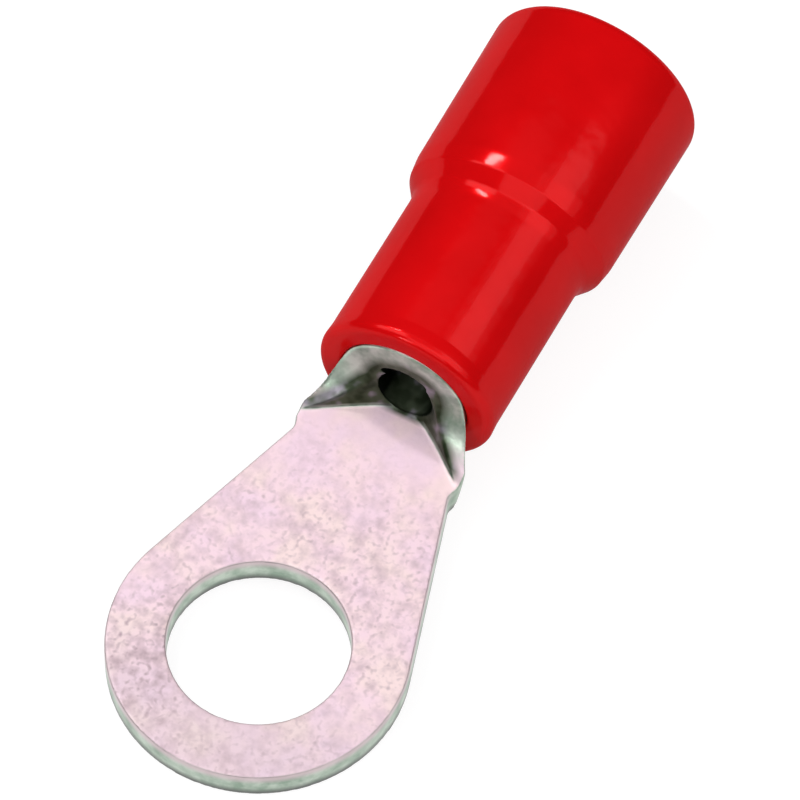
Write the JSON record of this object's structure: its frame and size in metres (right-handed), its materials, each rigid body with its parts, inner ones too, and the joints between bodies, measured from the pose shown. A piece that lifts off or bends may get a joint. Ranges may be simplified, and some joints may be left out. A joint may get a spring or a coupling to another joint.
{
  "type": "ring terminal",
  "caption": "Insulated ring terminal: a flat ring tongue for a stud turns up at its neck into a rolled wire barrel, under a stepped red sleeve.",
  "frame": {"origin": "centre of the stud hole on the contact face, which is the flat underside of the tongue", "axes": "+X along the tongue towards the barrel and the wire, +Z along the stud, away from the contact face"},
  "size_m": [0.0209, 0.0072, 0.0055],
  "materials": {
    "tinned_copper": "matt tin plating with fine specks, worn smooth on the cut edges",
    "red_vinyl": "glossy moulded vinyl"
  },
  "bodies": {
    "root": {"ring_tongue": "tinned_copper", "insulating_sleeve": "red_vinyl"}
  },
  "joints": []
}
